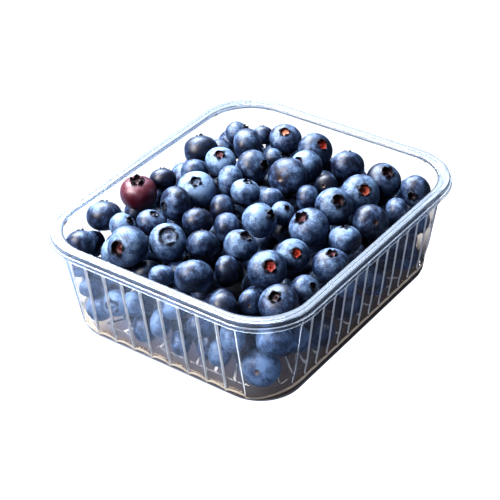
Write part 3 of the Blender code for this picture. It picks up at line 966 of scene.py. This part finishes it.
def mixed(tree, share, first, second):
    """A colour mix; each side is a colour or a socket."""
    node = add(tree, "ShaderNodeMix", data_type="RGBA")
    for side, given in ((0, share), (6, first), (7, second)):
        feed(tree, node.inputs[side], given)
    return node.outputs[2]


def along(tree, place, way):
    """How far a place or a direction reaches along a way."""
    dot = add(tree, "ShaderNodeVectorMath", operation="DOT_PRODUCT")
    feed(tree, dot.inputs[0], place)
    feed(tree, dot.inputs[1], way)
    return dot.outputs["Value"]


def picked(tree, share, first, second):
    """One shader or another."""
    node = add(tree, "ShaderNodeMixShader")
    for socket, given in zip(node.inputs, (share, first, second)):
        feed(tree, socket, given)
    return node.outputs[0]


def show(tree, shader, kind="ShaderNodeOutputMaterial"):
    """Send a shader to the tree's output."""
    feed(tree, add(tree, kind).inputs["Surface"], shader)


def group_tree(name, givens, results):
    """A node group with named numbers going in and coming out."""
    tree = bpy.data.node_groups.new(name, "ShaderNodeTree")
    for label, usual in givens:
        socket = tree.interface.new_socket(label, in_out="INPUT", socket_type="NodeSocketFloat")
        socket.default_value = usual
    for label in results:
        tree.interface.new_socket(label, in_out="OUTPUT", socket_type="NodeSocketFloat")
    return tree, add(tree, "NodeGroupInput").outputs, add(tree, "NodeGroupOutput").inputs


print("mixing helpers ready")

# %% The waxy bloom group
WAX_NUMBERS = (
    ("Cover", 0.5),
    ("Patch Scale", 120.0),
    ("Rub Scale", 420.0),
    ("Speckle Scale", 1900.0),
)
# Which scale, how much detail, the noise's useful range and how far it swings the wax.
WAX_NOISES = (
    ("Patch Scale", 2.0, (0.30, 0.70), 0.38),
    ("Rub Scale", 3.0, (0.38, 0.66), 0.26),
    ("Speckle Scale", 2.0, (0.35, 0.65), 0.20),
)


def make_waxy_bloom():
    """Node group: how much wax lies at a point, and a fine grain for bumps."""
    tree, given, result = group_tree("waxy_bloom", WAX_NUMBERS, ("Wax", "Grain"))
    place = add(tree, "ShaderNodeTexCoord").outputs["Object"]
    wax = given["Cover"]
    for label, detail, useful, reach in WAX_NOISES:
        noise = add(tree, "ShaderNodeTexNoise", input_Detail=detail, input_Roughness=0.6)
        feed(tree, noise.inputs["Vector"], place)
        feed(tree, noise.inputs["Scale"], given[label])
        grain = noise.outputs["Fac"]
        swing = ranged(tree, grain, useful, (-reach, reach))
        wax = maths(tree, "ADD", wax, swing, clamp=label == "Speckle Scale")
    feed(tree, result["Wax"], wax)
    feed(tree, result["Grain"], grain)
    return tree


waxy_bloom = make_waxy_bloom()
print("waxy bloom nodes:", len(waxy_bloom.nodes))

# %% [markdown]
# ## The skin, the cup and the scar
#
# The material starts from the bare skin, lays wax over it, and then gives the cup,
# the sepals and the scar their own colours where the points say so; the sepals' black
# also paints shade on the cup's inner wall. Separate materials for the parts would
# end in hard edges, while values on the points fade from one part to the next. The
# heart of some crowns is still red, so the cup's colour runs through a ramp from
# near-black to ember and pale orange.

# %% The heart of the crown
# How ember a heart is, and its colour.
EMBER_STEPS = (
    (0.0, (0.012, 0.008, 0.014)),
    (0.45, (0.10, 0.010, 0.010)),
    (0.80, (0.66, 0.070, 0.030)),
    (1.0, (0.88, 0.40, 0.22)),
)
DARK_SPECK = (0.020, 0.004, 0.008)
SPECK_RANGE, SPECK_WEIGHT = (0.42, 0.56), 0.6


def berry_value(tree, label):
    """The named value stored on a piece's points."""
    return add(tree, "ShaderNodeAttribute", attribute_name=label).outputs["Fac"]


def colour_ramp(tree, value, steps):
    """A colour that follows a value through steps of place and colour."""
    node = add(tree, "ShaderNodeValToRGB")
    first, last = node.color_ramp.elements
    for element, (place, colour) in ((first, steps[0]), (last, steps[-1])):
        element.position, element.color = place, (*colour, 1.0)
    for place, colour in steps[1:-1]:
        node.color_ramp.elements.new(place).color = (*colour, 1.0)
    feed(tree, node.inputs["Fac"], value)
    return node.outputs["Color"]


def crown_heart(tree, waxed, grain):
    """Colour inside the cup: ember or dark, dusted with wax, with dark specks."""
    ember = colour_ramp(tree, berry_value(tree, "ember"), EMBER_STEPS)
    dust = maths(tree, "MULTIPLY", berry_value(tree, "dusty"), 0.8, clamp=True)
    specks = ranged(tree, grain, SPECK_RANGE, (SPECK_WEIGHT, 0.0))
    return mixed(tree, specks, mixed(tree, dust, ember, waxed), DARK_SPECK)


print("steps from dark to ember:", len(EMBER_STEPS))

# %% The skin material
# Black of the sepals, also used as painted shade on the cup's inner wall.
SEPAL_AND_CUP_SHADE_BLACK, SCAR_BROWN = (0.004, 0.003, 0.006), (0.09, 0.06, 0.05)
ROUGH_BARE, ROUGH_WAXED = 0.42, 0.62


def make_skin(name, ripe, over_ripe, wax_thin, wax_thick, shine):
    """A berry's skin: dark colour, wax in patches, cup, sepals with painted shade in the cup, and
    scar.
    """
    material, tree = new_tree(name)
    shader = add(tree, "ShaderNodeBsdfPrincipled", input_IOR=1.46, input_Coat_Roughness=0.38)
    bloom = add(tree, "ShaderNodeGroup", node_tree=waxy_bloom)
    feed(tree, bloom.inputs["Cover"], berry_value(tree, "bloom"))
    wax, grain = bloom.outputs["Wax"], bloom.outputs["Grain"]
    skin = mixed(tree, berry_value(tree, "purple"), ripe, over_ripe)
    waxed = mixed(tree, wax, skin, mixed(tree, wax, wax_thin, wax_thick))
    heart = crown_heart(tree, waxed, grain)
    with_cup = mixed(tree, berry_value(tree, "cup"), waxed, heart)
    # The sepal mark paints black sepals and painted shade on the cup's inner wall.
    sepal_and_cup_shade_share = maths(tree, "MULTIPLY", berry_value(tree, "sepal_and_cup_shade"), 0.9, clamp=True)
    with_sepal_and_cup_shade = mixed(tree, sepal_and_cup_shade_share, with_cup, SEPAL_AND_CUP_SHADE_BLACK)
    with_scar = mixed(tree, berry_value(tree, "scar"), with_sepal_and_cup_shade, SCAR_BROWN)
    rough = ranged(tree, wax, target=(ROUGH_BARE, ROUGH_WAXED))
    bump = add(tree, "ShaderNodeBump", input_Strength=0.15, input_Distance=0.0002)
    feed(tree, bump.inputs["Height"], grain)
    feed(tree, shader.inputs["Base Color"], with_scar)
    feed(tree, shader.inputs["Roughness"], maths(tree, "MAXIMUM", rough, sepal_and_cup_shade_share))
    feed(tree, shader.inputs["Coat Weight"], ranged(tree, sepal_and_cup_shade_share, target=(shine, 0.0)))
    feed(tree, shader.inputs["Normal"], bump.outputs["Normal"])
    show(tree, shader.outputs[0])
    return material


blue_skin = make_skin(
    "blueberry_skin",
    ripe=(0.0016, 0.0040, 0.016),
    over_ripe=(0.009, 0.005, 0.016),
    wax_thin=(0.013, 0.048, 0.146),
    wax_thick=(0.140, 0.208, 0.320),
    shine=0.15,
)
maroon_skin = make_skin(
    "maroon_skin",
    ripe=(0.068, 0.0025, 0.011),
    over_ripe=(0.020, 0.003, 0.012),
    wax_thin=(0.095, 0.008, 0.022),
    wax_thick=(0.210, 0.120, 0.190),
    shine=0.60,
)
for piece in berry_pieces:
    piece.data.materials.append(maroon_skin if piece.name == "maroon_berry" else blue_skin)
print("skins on", len(berry_pieces), "pieces")

# %% [markdown]
# ## Shade on the core
#
# What shows between two berries deep in a heap is other berries with almost no light
# on them. A black core would read as a hole, so it is a very dark blue with a mottle.

# %% Dark between the berries


def make_deep_shade(darker, lighter):
    """Near-black blue with a faint mottle, for the core."""
    material, tree = new_tree("deep_shade")
    shader = add(tree, "ShaderNodeBsdfPrincipled", input_Roughness=0.8)
    mottle = add(tree, "ShaderNodeTexNoise", input_Scale=160.0, input_Detail=3.0)
    place = add(tree, "ShaderNodeTexCoord")
    feed(tree, mottle.inputs["Vector"], place.outputs["Object"])
    colour = mixed(tree, mottle.outputs["Fac"], darker, lighter)
    feed(tree, shader.inputs["Base Color"], colour)
    show(tree, shader.outputs[0])
    return material


deep_shade = make_deep_shade((0.002, 0.003, 0.007), (0.006, 0.009, 0.020))
heap_core.data.materials.append(deep_shade)
print("core shaded")

# %% [markdown]
# ## Clear drawn plastic
#
# The sheet is clear but not perfect: drawing it over a mould leaves it faintly wavy
# and slightly hazed. That unevenness is one node group, which all five finishes use
# with their own haze. Real glass in a path tracer blocks lamps, and what lies behind
# it would go black. So lamp rays and the soft light between berries pass straight
# through, and only what the eye sees is bent and mirrored.

# %% A faint waviness shared by all the plastics
SHEET_NUMBERS = (("Least Haze", 0.02), ("Most Haze", 0.08), ("Wave Scale", 40.0))


def make_drawn_sheet():
    """Node group: slight unevenness a drawn sheet keeps, as haze and as a height."""
    tree, given, result = group_tree("drawn_sheet", SHEET_NUMBERS, ("Haze", "Waves"))
    place = add(tree, "ShaderNodeTexCoord")
    noise = add(tree, "ShaderNodeTexNoise", input_Detail=2.0)
    feed(tree, noise.inputs["Vector"], place.outputs["Object"])
    feed(tree, noise.inputs["Scale"], given["Wave Scale"])
    waves = noise.outputs["Fac"]
    haze = ranged(tree, waves, target=(given["Least Haze"], given["Most Haze"]))
    feed(tree, result["Haze"], haze)
    feed(tree, result["Waves"], waves)
    return tree


drawn_sheet = make_drawn_sheet()
print("drawn sheet nodes:", len(drawn_sheet.nodes))

# %% The plastic materials
# How clear, the tint, the painted shade of tight bends, and the most haze.
PLASTIC_LOOKS = {
    "clear_sheet": (0.985, (0.93, 0.96, 1.0), (0.40, 0.32, 0.24), 0.05),
    "whitened_rib": (0.15, (0.84, 0.91, 1.0), (0.5, 0.5, 0.6), 0.20),
    "thick_rim": (0.91, (0.82, 0.87, 0.94), (0.30, 0.34, 0.41), 0.08),
    # The foot line's gold is a painted warm reflection.
    "painted_warm_foot_line": (0.55, (1.0, 0.84, 0.58), (0.9, 0.75, 0.55), 0.20),
    "milky_flange": (0.86, (0.43, 0.48, 0.55), (0.22, 0.26, 0.32), 0.10),
}
# Painted warm reflection towards the foot.
PAINTED_WARM_REFLECTION_TINT = (0.97, 0.91, 0.80)
LET_THROUGH = (0.94, 0.96, 0.98)


def fill_plastic(material, clearness, tint, painted_bend_shade_tint, most_haze):
    """Clear sheet: glass to the eye, open to lamps and bounced light."""
    material.use_nodes = True
    tree = material.node_tree
    tree.nodes.clear()
    shader = add(tree, "ShaderNodeBsdfPrincipled", input_IOR=1.47)
    shader.inputs["Transmission Weight"].default_value = clearness
    sheet = add(tree, "ShaderNodeGroup", node_tree=drawn_sheet)
    sheet.inputs["Most Haze"].default_value = most_haze
    # Painted warm reflection towards the foot, then painted shade along tight bends.
    with_warm_reflection = mixed(tree, berry_value(tree, "painted_warm_reflection"), tint, PAINTED_WARM_REFLECTION_TINT)
    with_bend_shade = mixed(tree, berry_value(tree, "painted_bend_shade"), with_warm_reflection, painted_bend_shade_tint)
    bump = add(tree, "ShaderNodeBump", input_Strength=0.02, input_Distance=0.0003)
    feed(tree, bump.inputs["Height"], sheet.outputs["Waves"])
    feed(tree, shader.inputs["Base Color"], with_bend_shade)
    feed(tree, shader.inputs["Roughness"], sheet.outputs["Haze"])
    feed(tree, shader.inputs["Normal"], bump.outputs["Normal"])
    open_way = add(tree, "ShaderNodeBsdfTransparent")
    feed(tree, open_way.inputs["Color"], LET_THROUGH)
    path = add(tree, "ShaderNodeLightPath")
    seen = shader.outputs[0]
    for ray in ("Is Shadow Ray", "Is Diffuse Ray"):
        seen = picked(tree, path.outputs[ray], seen, open_way.outputs[0])
    show(tree, seen)


for material in clear_tray.data.materials:
    fill_plastic(material, *PLASTIC_LOOKS[material.name])
print("plastics set:", list(PLASTIC_LOOKS))

# %% [markdown]
# ## The floor
#
# A clear tray shows mostly what stands round it. In a studio that is a pale floor,
# with a dark card on one side and a pale one on the other to draw the edges of the
# plastic. Real cards could be modelled, but they would shade the fruit and show in
# other views. So the floor is plain and pale to the eye, and glows with other painted
# tones for rays that reach it by a mirror, through the plastic or from the fruit:
# painted reflections of the cards, a painted shadow under the tray, and dim painted
# bounce light.

# %% Tones of the floor
# What each kind of ray meets, as painted reflections and painted shade: right of the tray, left of
# it, and well beyond it.
MIRRORED_TONES = ((0.045, 0.052, 0.08), (0.58, 0.74, 1.05), None)
SEEN_THROUGH_TONES = ((0.032, 0.021, 0.016), (0.24, 0.22, 0.29), (0.985, 1.0, 1.015))
BOUNCED_TONES = ((0.03, 0.03, 0.04), (0.08, 0.09, 0.11), None)
# Painted warm tone on the floor just beside the tray, seen through the plastic.
BESIDE_TONE = (0.98, 0.86, 0.76)
FLOOR_GREY = (0.88, 0.88, 0.88)
GLOW_TO_THE_EYE = 0.93
# Along each axis: the middle and half width of the shaded floor, where the painted shadow lies, in
# millimetres.
SHADED_FLOOR = (("X", 12.0, HALF_X - 18.0), ("Y", 0.0, HALF_Y - 12.0))
# Where each change of tone starts and ends, in millimetres.
OUTSIDE_SPAN, FURTHER_SPAN = (0.0, 20.0), (26.0, 60.0)
LEFT_WAY, LEFT_SPAN = (-0.8, -0.6, 0.0), (-40.0, 90.0)


def past_shaded_floor(tree, start, reach):
    """0 up to start mm outside the shaded floor, 1 from reach mm."""
    place = add(tree, "ShaderNodeTexCoord").outputs["Object"]
    split = add(tree, "ShaderNodeSeparateXYZ")
    feed(tree, split.inputs[0], place)
    sides = []
    for axis, middle, half in SHADED_FLOOR:
        off = maths(tree, "SUBTRACT", split.outputs[axis], middle * MM)
        sides.append(maths(tree, "SUBTRACT", maths(tree, "ABSOLUTE", off), half * MM))
    furthest = maths(tree, "MAXIMUM", *sides)
    return ranged(tree, furthest, (start * MM, reach * MM), how="SMOOTHSTEP")


def leftward(tree):
    """0 on the floor to the right of the tray, 1 to the front left of it."""
    place = add(tree, "ShaderNodeTexCoord").outputs["Object"]
    start, reach = LEFT_SPAN
    reached = along(tree, place, LEFT_WAY)
    return ranged(tree, reached, (start * MM, reach * MM), how="SMOOTHSTEP")


print("tones:", len(MIRRORED_TONES + SEEN_THROUGH_TONES + BOUNCED_TONES))

# %% Lay the floor


def tone_of_floor(tree, tones, aside, outside, further):
    """A painted glow that goes from right to left, and to the open floor beyond."""
    right, left, beyond = tones
    colour = mixed(tree, aside, right, left)
    if beyond:
        colour = mixed(tree, outside, colour, mixed(tree, further, BESIDE_TONE, beyond))
    glow = add(tree, "ShaderNodeEmission")
    feed(tree, glow.inputs["Color"], colour)
    return glow.outputs[0]


def make_floor(wide=6.0):
    """A wide pale floor that isn't part of the object."""
    mesh = bpy.data.meshes.new("studio_floor")
    corners = ((-wide, -wide, 0), (wide, -wide, 0), (wide, wide, 0), (-wide, wide, 0))
    mesh.from_pydata(corners, [], [(0, 1, 2, 3)])
    floor = bpy.data.objects.new("studio_floor", mesh)
    bpy.context.scene.collection.objects.link(floor)
    floor.location.z = -0.3 * MM
    material, tree = new_tree("studio_floor")
    plain = add(tree, "ShaderNodeBsdfDiffuse")
    feed(tree, plain.inputs["Color"], FLOOR_GREY)
    path = add(tree, "ShaderNodeLightPath").outputs
    spans = [past_shaded_floor(tree, *span) for span in (OUTSIDE_SPAN, FURTHER_SPAN)]
    latest = plain.outputs[0]
    for ray, tones in (
        ("Is Transmission Ray", SEEN_THROUGH_TONES),
        ("Glossy Depth", MIRRORED_TONES),
        ("Is Diffuse Ray", BOUNCED_TONES),
    ):
        latest = picked(tree, path[ray], latest, tone_of_floor(tree, tones, leftward(tree), *spans))
    to_the_eye = maths(tree, "MULTIPLY", path["Is Camera Ray"], GLOW_TO_THE_EYE)
    glow = add(tree, "ShaderNodeEmission")
    show(tree, picked(tree, to_the_eye, latest, glow.outputs[0]))
    mesh.materials.append(material)


make_floor()
print("floor laid")

# %% [markdown]
# ## The room
#
# Pale walls fill the shadows a little, and a bright card behind the tray draws the
# white gleam on the rim. Both are painted on the world rather than built. The gleam
# belongs on the outside of things, so rays that have already gone through plastic
# don't meet the card, or it would glitter on the tray's floor under the berries.

# %% The room
ROOM_STEPS = (
    (0.0, (0.10, 0.13, 0.20)),
    (0.24, (0.10, 0.13, 0.20)),
    (0.42, (0.55, 0.62, 0.72)),
    (1.0, (0.7, 0.75, 0.8)),
)
CARD_WAY = Vector((-0.49, 0.66, 0.57)).normalized()
CARD_EDGE, CARD_STRENGTH = (0.86, 0.93), 3.0
ROOM_STRENGTH, FILL_STRENGTH = 0.55, 0.022


def seen_room(tree, path):
    """What mirrors and clear things show: a pale room and its bright card."""
    way = add(tree, "ShaderNodeTexCoord").outputs["Generated"]
    split = add(tree, "ShaderNodeSeparateXYZ")
    feed(tree, split.inputs[0], way)
    facing = along(tree, way, CARD_WAY)
    card = ranged(tree, facing, CARD_EDGE, (0.0, CARD_STRENGTH), "SMOOTHSTEP")
    outside = maths(tree, "LESS_THAN", path["Transmission Depth"], 0.5)
    gleam = maths(tree, "MULTIPLY", card, outside)
    room = add(tree, "ShaderNodeBackground")
    feed(tree, room.inputs["Color"], colour_ramp(tree, split.outputs["Z"], ROOM_STEPS))
    feed(tree, room.inputs["Strength"], maths(tree, "ADD", gleam, ROOM_STRENGTH))
    return room.outputs[0]


def make_room():
    """Dim soft light from all round, with a bright card behind for glossy things."""
    world = bpy.data.worlds.new("pale_room")
    bpy.context.scene.world = world
    world.use_nodes = True
    tree = world.node_tree
    tree.nodes.clear()
    path = add(tree, "ShaderNodeLightPath").outputs
    fill = add(tree, "ShaderNodeBackground", input_Strength=FILL_STRENGTH)
    feed(tree, fill.inputs["Color"], (0.80, 0.90, 1.0))
    seen = seen_room(tree, path)
    shown = picked(tree, path["Is Diffuse Ray"], seen, fill.outputs[0])
    show(tree, shown, "ShaderNodeOutputWorld")


make_room()
print("room made")

# %% [markdown]
# ## Lamps
#
# Two large soft lamps do most of the work: a window at the front left, slightly warm,
# and a cooler skylight to the left. One lamp alone would leave hard black halves on
# the berries. A light from the right would flatten the heap, but without one the
# right wall stays dull. Light linking solves that: an edge light that reaches only
# the tray, and a weak blue glow that reaches only the berries against the walls.

# %% The lamps


def soft_lamp(name, spot, size, power, colour, aim=(0, 0, 0.03)):
    """A square area lamp that faces the tray."""
    lamp = bpy.data.lights.new(name, "AREA")
    lamp.shape = "SQUARE"
    lamp.size = size
    lamp.energy = power
    lamp.color = colour
    holder = bpy.data.objects.new(name, lamp)
    holder.location = spot
    facing = Vector(spot) - Vector(aim)
    holder.rotation_euler = facing.to_track_quat("Z", "Y").to_euler()
    bpy.context.scene.collection.objects.link(holder)
    return holder


soft_lamp("window", (-0.45, -0.75, 0.80), 0.60, 22.0, (1.0, 0.95, 0.94))
soft_lamp("skylight", (-0.55, 0.20, 0.80), 0.80, 36.5, (0.90, 0.96, 1.0))
edge_light = soft_lamp("edge light", (0.85, 0.25, 0.45), 0.50, 4.0, (0.92, 0.92, 1.0))
side_glow = soft_lamp("side glow", (0.75, -0.55, 0.30), 0.50, 3.6, (0.60, 0.78, 1.0))
for lamp, piece in ((edge_light, clear_tray), (side_glow, bpy.data.objects["wall_berries"])):
    lit = bpy.data.collections.new("lit by the " + lamp.name)
    lit.objects.link(piece)
    lamp.light_linking.receiver_collection = lit

# %% [markdown]
# ## The camera
#
# It looks down at the tray from beyond its front right corner with a long lens, which
# keeps the two walls nearly parallel. An aim constraint would do, but a matrix built
# from the three directions also holds the slight roll.

# %% The camera
VIEW_TURN, VIEW_RISE, VIEW_ROLL = 36.84, 34.57, -1.94
VIEW_DISTANCE = 0.6754
VIEW_AIM = Vector((-0.01955, 0.02236, 0.0))
LENS, SENSOR = 112.3, 36.0


def view_camera():
    """A camera that looks at the tray from beyond its front right corner."""
    turn, rise = math.radians(VIEW_TURN), math.radians(VIEW_RISE)
    level = math.cos(rise)
    back = Vector((math.sin(turn) * level, -math.cos(turn) * level, math.sin(rise)))
    right = (-back).cross(Vector((0, 0, 1))).normalized()
    up = right.cross(-back)
    basis = Matrix((right, up, back)).transposed()
    basis = basis @ Matrix.Rotation(math.radians(VIEW_ROLL), 3, "Z")
    lens = bpy.data.cameras.new("view")
    lens.lens = LENS
    lens.sensor_width = SENSOR
    camera = bpy.data.objects.new("view", lens)
    camera.matrix_world = Matrix.Translation(VIEW_AIM + back * VIEW_DISTANCE) @ basis.to_4x4()
    bpy.context.scene.collection.objects.link(camera)
    bpy.context.scene.camera = camera
    return camera


camera = view_camera()
bpy.context.scene.view_settings.view_transform = "Standard"
bpy.context.scene.view_settings.look = "High Contrast"
print("camera at", [round(v, 4) for v in camera.location])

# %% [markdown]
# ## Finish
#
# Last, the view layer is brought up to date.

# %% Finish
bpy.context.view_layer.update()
